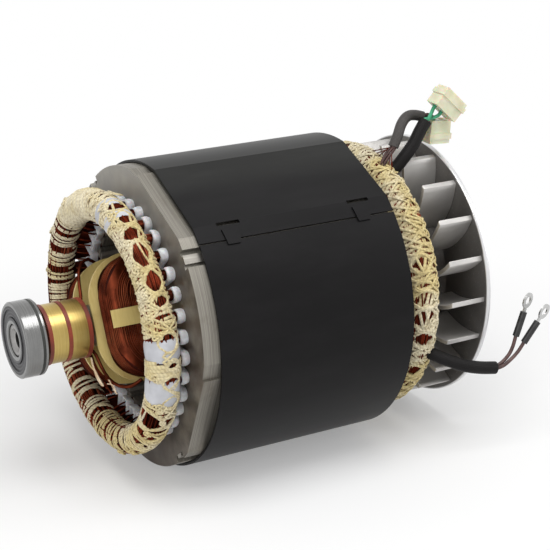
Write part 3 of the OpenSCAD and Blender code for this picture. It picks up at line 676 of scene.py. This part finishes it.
def make_leads():
    """The five leads, and the three sleeves that they come out of."""
    black = braided("black_sleeving", paint(16, 15, 15), paint(28, 26, 26), 0.14)
    grey = braided("grey_sleeving", paint(54, 52, 51), paint(78, 74, 72), 0.25)
    green = lead_plastic("green_lead", paint(30, 128, 84), paint(70, 168, 126))
    brown = lead_plastic("brown_lead", paint(58, 36, 34), paint(96, 70, 66))
    low_sleeve = sleeve_piece("low_sleeve", low_route, sleeve_d, black, "black_sleeve",
                              "terminal_lead_sleeve")
    top_sleeve = sleeve_piece("top_sleeve", black_route, sleeve_d, black, "black_sleeve",
                              "black_lead_sleeve")
    bent_sleeve = sleeve_piece("bent_sleeve", grey_route, grey_sleeve_d, grey, "grey_sleeve",
                               "grey_lead_sleeve")
    lead_piece("left_green_wire", beside(black_route, -1.4) + left_green_route, green, "green_lead",
               ["left_green_lead"])
    lead_piece("right_green_wire", beside(black_route, 1.4) + right_green_route, green, "green_lead",
               ["right_green_lead"])
    lead_piece("left_eye_wire", beside(low_route, 1.3) + left_lead_route, brown, "brown_lead",
               ["left_terminal_lead"])
    lead_piece("right_eye_wire", beside(low_route, -1.3) + right_lead_route, brown, "brown_lead",
               ["right_terminal_lead"])
    brown_bundle(brown)


make_leads()


# ---------- CAD pieces ----------

def dress(finish, *names, bevel=0.0):
    """Gives CAD nodes their finish, and rounds their edges where the real ones are."""
    for name in names:
        node = nodes[name]
        node.data.materials.clear()
        node.data.materials.append(finish)
        if bevel:
            weld = node.modifiers.new("weld", "WELD")
            weld.merge_threshold = 0.005 * mm
            edge = node.modifiers.new("edges", "BEVEL")
            edge.width = bevel
            edge.segments = 2
            edge.limit_method = "ANGLE"
            edge.angle_limit = math.radians(40)


copper_dark = winding_copper("winding_copper", paint(66, 25, 15), paint(116, 48, 30), paint(226, 136, 100))
# A darker copy of the wire copper for the bundles under the wires: painted shade between and under them, with
# a dimmer painted glint.
painted_shade_copper = winding_copper("painted_shade_copper_finish", paint(40, 16, 10), paint(74, 30, 19), paint(130, 66, 44))
copper_red = winding_copper("rotor_copper", paint(62, 26, 16), paint(106, 48, 30), paint(236, 140, 92))
lacing = lacing_thread()

dress(lamination(), "stator_core")
dress(cleat_steel(), "core_cleats")
dress(copper_dark, "slot_conductors")
dress(painted_shade_copper, "front_end_winding", "rear_end_winding")
dress(cover_plastic(), "cover_band", "cover_hooks")
dress(turned_metal("shaft_steel", paint(118, 116, 114), paint(176, 174, 172), 0.32), "shaft")
dress(moulded("rotor_steel", paint(78, 74, 70), paint(112, 106, 98), 0.4, 200), "rotor_core")
dress(copper_red, "near_pole_coil", "far_pole_coil", "rotor_leads")
dress(board(), "near_coil_bobbin", "far_coil_bobbin", "coil_retaining_bars")
dress(moulded("hub_resin", paint(104, 38, 24), paint(146, 60, 38), 0.45, 400), "slip_ring_hub")
dress(turned_metal("ring_brass", paint(166, 138, 74), paint(214, 192, 124), 0.3),
      "front_slip_ring", "rear_slip_ring")
# One casting in two copies: the disc darker, as painted shade between the blades, and the blades paler, as
# painted light.
dress(cast_aluminium("fan_casting_painted_shade", paint(94, 92, 90), paint(130, 127, 124)), "fan", bevel=0.5 * mm)
dress(cast_aluminium("blade_casting_painted_light", paint(172, 169, 166), paint(212, 210, 207)), "fan_blades",
      bevel=0.5 * mm)
dress(bearing_metal(), "bearing_inner_ring", "bearing_outer_ring", "bearing_seals")
dress(moulded("seal_rubber", paint(34, 36, 34), paint(52, 54, 50), 0.55), "bearing_o_ring")
dress(lead_plastic("shrink_tube", paint(20, 20, 20), paint(40, 40, 40)), "left_shrink_tube",
      "right_shrink_tube")
dress(turned_metal("tin_plate", paint(176, 176, 176), paint(216, 216, 214), 0.25, lines_scale=300),
      "left_ring_terminal", "right_ring_terminal")
dress(nylon(), "large_connector", "small_connector")


# ---------- end windings ----------

class EndWinding:
    """An end winding's bundle: a ring round the shaft, tilted so that one side of it stands out furthest.

    Turns are in degrees from the side that faces -Y, rising over the top; around is in degrees round the
    bundle, from its outermost line towards the drive end."""

    furthest_turn = 165

    def __init__(self, x, ring_r, bundle_r, tilt, face, swell):
        self.x = x
        self.ring_r = ring_r
        self.bundle_r = bundle_r
        self.face = face
        self.swell = np.array(swell)
        self.per_turn = math.degrees(mm / ring_r)
        self.per_around = math.degrees(mm / bundle_r)
        self.axes = np.array(Euler((math.radians(180 - self.furthest_turn), 0, 0)).to_matrix()
                             @ Matrix.Rotation(math.radians(tilt), 3, "Z")
                             @ Matrix.Rotation(math.pi / 2, 3, "Y"))

    def outward(self, turn, around):
        """Direction away from the bundle's middle line."""
        a = np.radians(90 + self.furthest_turn - np.asarray(turn, float))
        p = np.radians(np.asarray(around, float))
        a, p = np.broadcast_arrays(a, p)
        return np.stack([np.cos(p) * np.cos(a), np.cos(p) * np.sin(a), np.sin(p)], -1) @ self.axes.T

    def at(self, turn, around, radius):
        """Point at a radius from the bundle's middle line."""
        middle = self.outward(turn, 0) * self.ring_r + [self.x, 0, 0]
        return middle + self.outward(turn, around) * np.asarray(radius)[..., None]

    def skin(self, turn):
        """Radius of the wires at a turn. The bundle is fuller in some places."""
        full = np.interp(turn, self.swell[:, 0], self.swell[:, 1], period=360)
        return self.bundle_r + full * mm


# How much fuller a bundle is, in millimetres, at turns round it.
front = EndWinding(front_ring_x, ring_r=73.8 * mm, bundle_r=7.8 * mm, tilt=1.5, face=stack_front,
                   swell=[(-150, 0.4), (-90, 0.5), (-45, 0.6), (-13, 1.2), (6, 1.3), (18, 1.0), (30, 0.1),
                          (48, 0), (62, 0.1), (90, 0.8), (115, 1.0), (145, 0.1), (180, 0.1)])
rear = EndWinding(rear_ring_x, ring_r=77.5 * mm, bundle_r=9.2 * mm, tilt=0, face=stack_back,
                  swell=[(-150, 0.3), (-60, 0.2), (-20, 0), (10, 0.3), (50, 0), (100, 0.4), (160, 0.2)])


def wander(count, size, waves=5):
    """A smooth closed drift: a few waves of chance strength."""
    turn = np.linspace(0, 2 * math.pi, count, endpoint=False)
    out = np.zeros(count)
    for k in range(1, waves + 1):
        out += chance.normal(0, size / k ** 0.5) * np.sin(k * turn + chance.uniform(0, 6.3))
    return out


def bundle_wires(piece, winding, strands=56, points=108):
    """Wires that run round the bundle. They keep to its surface, cross and dip a little."""
    turn = np.linspace(0, 360, points, endpoint=False)
    for k in range(strands):
        around = k * 360 / strands + wander(points, 6)
        radius = winding.skin(turn) + 0.1 * mm + wander(points, 0.24 * mm)
        up = winding.outward(turn, around)
        piece.tube(winding.at(turn, around, radius), wire_d, up=up, sides=5, closed=True)


def leaving_wires(piece):
    """Wires that leave the rear bundle for the mouth of the upper sleeve."""
    for k in range(7):
        foot = rear.at(66 + 3 * k, 20, rear.bundle_r + 0.4 * mm)
        mouth = np.array([rear.x + 7.5 * mm, -30 * mm, 94 * mm]) + chance.normal(0, 0.9, 3) * mm
        bend = (foot + mouth) / 2 + np.array([0, 0.2, 0.6]) * chance.uniform(0, 2) * mm
        piece.tube(smooth_route([foot, bend, mouth]), 0.7 * mm, sides=5)


def slot_legs(piece, winding, legs=10):
    """Wires from every slot up to the bundle, spread round the slot's outline."""
    side = 1 if winding.face > winding.x else -1
    reach = abs(winding.face - winding.x) - 4 * mm
    low_r = slot_mouth_r + 3 * mm
    high_r = slot_floor_r + 2.6 * mm
    half_width = 2.4 * mm
    t = np.linspace(0, 1, 6)
    x = winding.face - side * (0.5 * mm + t * reach)
    for slot in range(slot_count):
        angle = slot_angle(slot)
        for u in np.linspace(-1, 1, legs):
            start_r = low_r + (high_r - low_r) * (1 - abs(u) ** 3)
            radius = start_r + (winding.ring_r - start_r) * t ** 2 * 0.5
            off = np.sign(u) * (1 - (1 - abs(u)) ** 2) * half_width + chance.normal(0, 1.2) * mm * t
            piece.tube(round_shaft(angle, x, radius, off), wire_d, up=round_shaft(angle, 0, 1, 0), sides=5)


def winding_wires(winding, name):
    """The wires that show: on the bundle, from it to the leads, and from it to the slots."""
    piece = Piece()
    bundle_wires(piece, winding)
    if winding is rear:
        leaving_wires(piece)
    slot_legs(piece, winding)
    piece.make(name, copper_dark, STATOR, "copper_winding")


def cuff_outline(grow):
    """Outline of a slot's paper as places out and across: its open mouth, two sides and a round bottom."""
    inset = 0.4 * mm
    arc = np.radians(np.linspace(-90, 90, 11))
    reach = slot_floor_half + grow - inset
    bend = np.stack([slot_floor_r + reach * np.cos(arc), reach * np.sin(arc)], -1)
    mouth = np.array([slot_mouth_r + 0.6 * mm - 0.4 * grow, -(slot_mouth_half + grow - inset)])
    steps = np.linspace(0, 1, 4)[:-1, None]
    low = mouth * (1 - steps) + bend[0] * steps
    high = low[::-1] * [1, -1]
    return np.concatenate([low, bend, high, low[:1]])


def slot_cuffs():
    """Folded paper cuffs round the wires of every slot, at both ends of the stack."""
    piece = Piece()
    # How far out of the stack each row stands, and how far it bulges: out over the fold and back inside.
    profile = [(-0.1, 0.6), (0.25, 0.95), (0.6, 1.0), (0.86, 0.85), (1.0, 0.35), (0.98, -0.3),
               (0.85, -0.6), (0.3, -0.62), (-0.1, -0.6)]
    for face, side in ((stack_front, -1), (stack_back, 1)):
        for slot in range(slot_count):
            height = cuff_length * chance.uniform(1.1, 1.45)
            swell = chance.uniform(1.0, 1.7) * mm
            lean = chance.normal(0, 0.5) * mm
            rows = []
            for share, bulge in profile:
                line = cuff_outline(bulge * swell)
                x = face + side * max(share, 0) * height
                rows.append(round_shaft(slot_angle(slot), x, line[:, 0] + lean * share, line[:, 1]))
            piece.grid(np.array(rows).transpose(1, 0, 2), round_closed=False)
    piece.make("slot_cuffs", cuff_paper(), STATOR, "slot_paper", ["slot_liners"])


class Opening:
    """A gap that the cord leaves open on the bundle, through which wires show."""

    def __init__(self, turn, around, half_turn, half_around):
        self.turn = turn
        self.around = around
        self.half_turn = half_turn
        self.half_around = half_around

    def off(self, around):
        """How far round the bundle places are from the gap's middle."""
        return (around - self.around + 180) % 360 - 180

    def part(self, turn, around):
        """Turns moved aside, so that cord passes round the gap."""
        edge = np.clip(1 - (self.off(around) / self.half_around) ** 2, 0, 1) ** 0.5 * self.half_turn
        away = turn - self.turn
        moved = self.turn + np.where(away < 0, -1, 1) * (edge + 0.25 * np.abs(away))
        return np.where(np.abs(away) < edge, moved, turn)

    def push(self, turn, around):
        """Points moved straight out to the gap's border, for cord that runs along the bundle."""
        off = self.off(around)
        half_turn = self.half_turn + 0.4
        half_around = self.half_around + 3
        a = (turn - self.turn) / half_turn
        b = off / half_around
        depth = np.hypot(a, b)
        inside = depth < 1
        scale = np.where(inside, 1 / np.maximum(depth, 0.05), 1)
        return (np.where(inside, self.turn + a * scale * half_turn, turn),
                np.where(inside, around - off + b * scale * half_around, around))


class Lacing:
    """Cord on a bundle, with gaps left in it. Its lifts, pitches and widths are in millimetres."""

    settled = 0.35

    def __init__(self, winding, gaps):
        self.piece = Piece()
        self.winding = winding
        self.gaps = gaps

    def lay(self, turn, around, above, width, height, closed=False):
        """A cord along places on the bundle, its middle above the wires."""
        path = self.winding.at(turn, around, self.winding.skin(turn) + above * mm)
        self.piece.tube(path, width * mm, height * mm, self.winding.outward(turn, around), 6, closed)

    def rounds(self, start, stop, pitch, fewest):
        """How many times a pitch goes into the way between two turns."""
        return max(fewest, round(math.radians(abs(stop - start)) * self.winding.ring_r / (pitch * mm)))

    def wrap(self, start, stop, pitch, slant, lift, loose, width, height=1.0):
        """Cord wound round the bundle from one place to another, led round the gaps."""
        rounds = self.rounds(start, stop, pitch, 1)
        progress = np.linspace(0, rounds, rounds * 22 + 1)
        around = 360 * progress * (1 if stop > start else -1) + chance.uniform(0, 360)
        knots = np.arange(2 * rounds + 2) / 2
        drift, rise, lean = (np.interp(progress, knots, chance.normal(middle, spread, len(knots)))
                             for middle, spread in ((0, loose * self.winding.per_turn), (0, 0.12), (1, 0.35)))
        leaning = lean * slant * np.sin(np.radians(around + 60))
        turn = start + (stop - start) * progress / rounds + leaning + drift
        for gap in self.gaps:
            turn = gap.part(turn, around)
        self.lay(turn, around, np.minimum(lift + rise - self.settled, 2), width, height)

    def zigzag(self, start, stop, stitch, middle, swing, lift=1.5):
        """A cord that is stitched to and fro along the bundle between two lines round it."""
        count = self.rounds(start, stop, stitch, 2)
        progress = np.linspace(0, count, count * 14 + 1)
        corners = np.where(np.arange(count + 1) % 2, 1, -1) * chance.normal(1, 0.18, count + 1)
        around = middle + swing * np.interp(progress, np.arange(count + 1), corners)
        turn = start + (stop - start) * progress / count
        for gap in self.gaps:
            turn, around = gap.push(turn, around)
        self.lay(turn, around, lift - self.settled, 1.5, 1.0)

    def loops(self, lift):
        """Cord drawn up into a loop round every gap."""
        t = np.linspace(0, 2 * math.pi, 26, endpoint=False)
        corner = 1 + 0.1 * np.cos(4 * t)
        for gap in self.gaps:
            turn = gap.turn + (gap.half_turn + 0.5) * corner * np.cos(t) + chance.normal(0, 0.12, 26)
            around = gap.around + (gap.half_around + 3) * corner * np.sin(t)
            self.lay(turn, around, lift - self.settled, 1.7, 1.2, closed=True)

    def knot(self, turn, around, size):
        """A small overhand knot."""
        t = np.linspace(0, 2 * math.pi, 26, endpoint=False)
        roll = chance.uniform(0, 6.3)
        a = (np.sin(t) + 2 * np.sin(2 * t)) * 0.75 * size
        b = (np.cos(t) - 2 * np.cos(2 * t)) * 0.75 * size
        c = math.cos(roll)
        s = math.sin(roll)
        turns = turn + (a * c - b * s) * self.winding.per_turn
        arounds = around + (a * s + b * c) * self.winding.per_around
        self.lay(turns, arounds, 1.6 + 0.45 * np.sin(3 * t), 1.3, 1.1, closed=True)

    def make(self, name, node):
        """The finished cord, standing for the CAD's."""
        self.piece.make(name, lacing, STATOR, "lacing_cord", [node])


def tuft(piece):
    """Frayed cut end of the binding, standing up behind the topmost turn."""
    t = np.linspace(0, 1, 5)
    for k in range(7):
        turn = 91 - 7 * t + chance.normal(0, 0.5)
        around = 12 + 3.5 * k + 14 * t
        radius = front.bundle_r + (1.8 + 0.2 * k + 2.2 * t ** 2) * mm
        piece.tube(front.at(turn, around, radius), 1.7 * mm, 0.6 * mm, front.outward(turn, around))


def front_lacing():
    """Cord of the slip-ring end: spaced bands on its far side, and a close binding over the near one."""
    cord = Lacing(front, [Opening(77, 0, 3.3, 40), Opening(68, -3, 3.5, 42), Opening(59, -10, 3.5, 44),
                          Opening(48.5, -14, 6.0, 34), Opening(36, -1, 5.0, 32), Opening(28, 2, 2.8, 30),
                          Opening(11, 2, 3.6, 32), Opening(-28, -72, 5.2, 64), Opening(-39, -62, 3.0, 56),
                          Opening(-48, -50, 2.6, 50), Opening(-6, 6, 2.8, 28), Opening(1.5, 10, 1.8, 20),
                          Opening(-16, 10, 2.6, 26), Opening(-27, 14, 2.6, 26), Opening(-57, -30, 2.2, 34)])
    bands = [(136.5, 139.5), (142.5, 145.5), (149, 153), (156, 159), (162, 167), (170, 175), (178, 188),
             (192, 195), (198.5, 202), (205.5, 209), (212.5, 216), (219.5, 223), (227, 230.5), (234, 237.5),
             (241, 245), (248, 252), (255.5, 259), (262.5, 266.5), (269.5, 274), (277, 282), (285, 290),
             (292.5, 298)]
    for k, (start, stop) in enumerate(bands):
        slant = 0.6 + 2.2 * math.sin(math.radians(max(0, start - 175))) ** 2
        cord.wrap(start, stop, 2.2, slant, 0.95, 0.35, 1.8)
        if k % 2:
            cord.wrap(stop + 1.5, start - 1, 4.5, -slant, 1.25, 0.5, 1.5, 0.9)
    for start, stop, pitch, slant in [(-31, -18, 2.1, 0.8), (13, 24, 1.5, 2.2), (24, 62, 1.9, 1.6),
                                      (62, 94, 1.9, 1.8), (-60, -33, 2.3, 1.5)]:
        cord.wrap(start, stop, pitch, slant, 0.95, 0.3, 1.9)
        cord.wrap(stop, start, pitch * 2.6, -slant * 2, 1.4, 0.3, 1.6)
    cord.wrap(94, 134, 1.9, 1.6, 0.95, 0.25, 2.4, 1.1)
    cord.wrap(133, 96, 5.0, 3.2, 1.3, 0.5, 2.2)
    tuft(cord.piece)
    cord.wrap(-6, 2.5, 2.2, 0.6, 1.6, 0.15, 2.8, 0.9)
    for start, stop in [(20, 64), (62, 92), (-58, -30)]:
        cord.zigzag(start, stop, 5.2, -34, 22)
        cord.zigzag(start, stop, 6.4, 30, -14)
    cord.zigzag(-30, 20, 7.5, 12, 30, 1.9)
    cord.zigzag(-30, 20, 9.0, 16, -34, 1.9)
    cord.loops(1.3)
    for turn in [14, 21, 31, 42, 55, 64, 72, 80, 87, 93, -4, -18, -36, -48, -60, -74, 122, 150, 172]:
        cord.knot(turn, chance.uniform(-60, -30), chance.uniform(0.8, 1.3))
    cord.make("front_lacing_cord", "front_lacing")


def rear_lacing():
    """Cord of the drive end: a close net all the way round."""
    cord = Lacing(rear, [Opening(22, -18, 3.4, 34), Opening(13, -20, 1.6, 26), Opening(7, -16, 3.6, 42),
                         Opening(-1.5, -16, 4.6, 44), Opening(-11, -18, 3.4, 38), Opening(-28, -24, 3.0, 32),
                         Opening(-37, -24, 2.4, 28), Opening(96, -30, 3, 30)])
    for start in range(-180, 180, 24):
        cord.wrap(start, start + 24.5, 2.9, chance.uniform(0.8, 2.4), 0.55, 0.3, 3.9, 0.7)
        cord.wrap(start, start + 24.5, 3.0, chance.uniform(0.8, 3.4), 1.0, 0.7, 2.3, 1.2)
    for start in range(-180, 180, 30):
        cord.wrap(start + 30, start, 5.2, chance.uniform(-5, -2), 1.6, 0.9, 2.0, 1.2)
        cord.zigzag(start, start + 30, 7.5, -20, 26, 1.9)
        cord.zigzag(start, start + 30, 6.2, 28, -24, 2.0)
    cord.loops(1.6)
    for turn in range(-176, 180, 7):
        cord.knot(turn + chance.uniform(-3, 3), chance.uniform(10, 70), chance.uniform(1.0, 1.9))
    cord.make("rear_lacing_cord", "rear_lacing")


def insulating_sleeves():
    """Sleeves over the joints in the bundle, drawn in at their ends by the cord."""
    piece = Piece()
    around = np.linspace(0, 360, 40, endpoint=False)
    for start, stop in ((2.5, 12.0), (-18.5, -6.0), (69.5, 75.0), (79.0, 84.5)):
        rows = []
        for turn, share in zip(np.linspace(start, stop, 14), np.linspace(-1, 1, 14)):
            full = 0.6 * mm + 0.75 * mm * (1 - share ** 4)
            dents = 0.12 * mm * np.sin(np.radians(3 * around) + 4 * share)
            rows.append(front.at(turn, around + 2 * math.sin(5 * share), front.skin(turn) + full + dents))
        piece.grid(np.array(rows))
    piece.make("joint_sleeves", sleeve_fabric(), STATOR, "sleeve_fabric", ["winding_sleeves"])


winding_wires(front, "front_winding_wires")
winding_wires(rear, "rear_winding_wires")
slot_cuffs()
front_lacing()
rear_lacing()
insulating_sleeves()


# ---------- rotor winding ----------

pole_angle = 25
coil_low_u = 15.6 * mm
coil_high_u = 41.1 * mm
coil_half_v = 38 * mm
coil_end_round = 26 * mm
coil_edge_round = 9 * mm
coil_clear_r = 54.9 * mm
coil_half = stack_length / 2 + 30 * mm
coil_pitch = 1.1 * mm
coil_wire_d = 1.2 * mm


def coil_loop(inset, steps=16):
    """One turn of a pole's coil, seen along the pole: a rounded rectangle."""
    r = coil_end_round - inset
    half_x = coil_half - inset
    half_v = coil_half_v - inset
    points = []
    for sx, sv, start in ((1, 1, 0), (-1, 1, 90), (-1, -1, 180), (1, -1, 270)):
        a = np.radians(np.linspace(start, start + 90, steps))
        points.append(np.stack([sx * (half_x - r) + r * np.cos(a), sv * (half_v - r) + r * np.sin(a)], -1))
    return np.concatenate(points)


def coil_section():
    """Where the wires on a coil's skin are: how far in from its side, and how far out along the pole."""
    bend = np.radians(np.linspace(0, 90, 12))
    slow = coil_edge_round * (1 - np.cos(bend))
    fast = coil_edge_round * (1 - np.sin(bend))
    side = np.arange(coil_low_u + coil_edge_round + 1.1 * mm, coil_high_u - coil_edge_round, coil_pitch)
    section = [(inset, coil_low_u + 0.2 * mm) for inset in np.arange(18, 9, -1.1) * mm]
    section += list(zip(fast, coil_low_u + slow))
    section += [(0, u) for u in side]
    section += list(zip(slow, coil_high_u - fast))
    section += [(inset, coil_high_u) for inset in np.arange(10, 17, 1.1) * mm]
    return section


def pole_windings():
    """Wires on the skin of both coils, laid side by side, with a few that cross."""
    middle = np.array([stack_front + stack_length / 2, 0, 0])
    for side, name in ((1, "near_coil_wires"), (-1, "far_coil_wires")):
        piece = Piece()
        for inset, u in coil_section():
            x, v = coil_loop(min(inset, coil_end_round - 4 * mm)).T
            level = np.clip(u + wander(len(x), 0.35 * mm, 4), coil_low_u, coil_high_u)
            keep = np.minimum(1, (coil_clear_r - 0.1 * mm) / np.hypot(level, v)) * side
            path = round_shaft(pole_angle, middle[0] + x, level * keep, -v * keep)
            piece.tube(path, coil_wire_d, up=path - middle, sides=5, closed=True)
        piece.make(name, copper_red, ROTOR, "copper_winding")


def strands(piece, count, route, spread, width, height=None, sides=5):
    """Strands along one route in millimetres, each a little off it; they spread less along the shaft."""
    for k in range(count):
        off = chance.normal(0, 1, (len(route), 3)) * spread
        piece.tube(smooth_route((np.array(route) + off) * mm), width, height, sides=sides)


def lead_joint():
    """The twisted and tied joint under the slip rings, with its cut strands."""
    wires = Piece()
    strands(wires, 9, [[45.4, -9, -16], [45, -20, -22], [45.6, -33, -27]],
            [[0.36, 1.2, 1.2], [0.6, 1.5, 1.5], [0.88, 2.2, 2.2]], 1.0 * mm)
    tie = Piece()
    strands(tie, 4, [[44.4, -12, -17], [43.6, -17, -20], [43.6, -22, -23.5], [44.4, -28, -28]],
            [0.24, 0.8, 0.8], 1.3 * mm, 0.8 * mm, 6)
    strands(tie, 4, [[44.6, -39, -21], [43.8, -45, -21.5], [43.4, -52, -23.5]], [0.39, 1.3, 1.3], 0.6 * mm)
    wires.make("joint_wires", copper_red, ROTOR, "copper_winding")
    tie_finish = lead_plastic("joint_tie", paint(196, 168, 134), paint(228, 208, 180))
    tie.make("joint_tie", tie_finish, ROTOR, "lacing_cord")


pole_windings()
lead_joint()
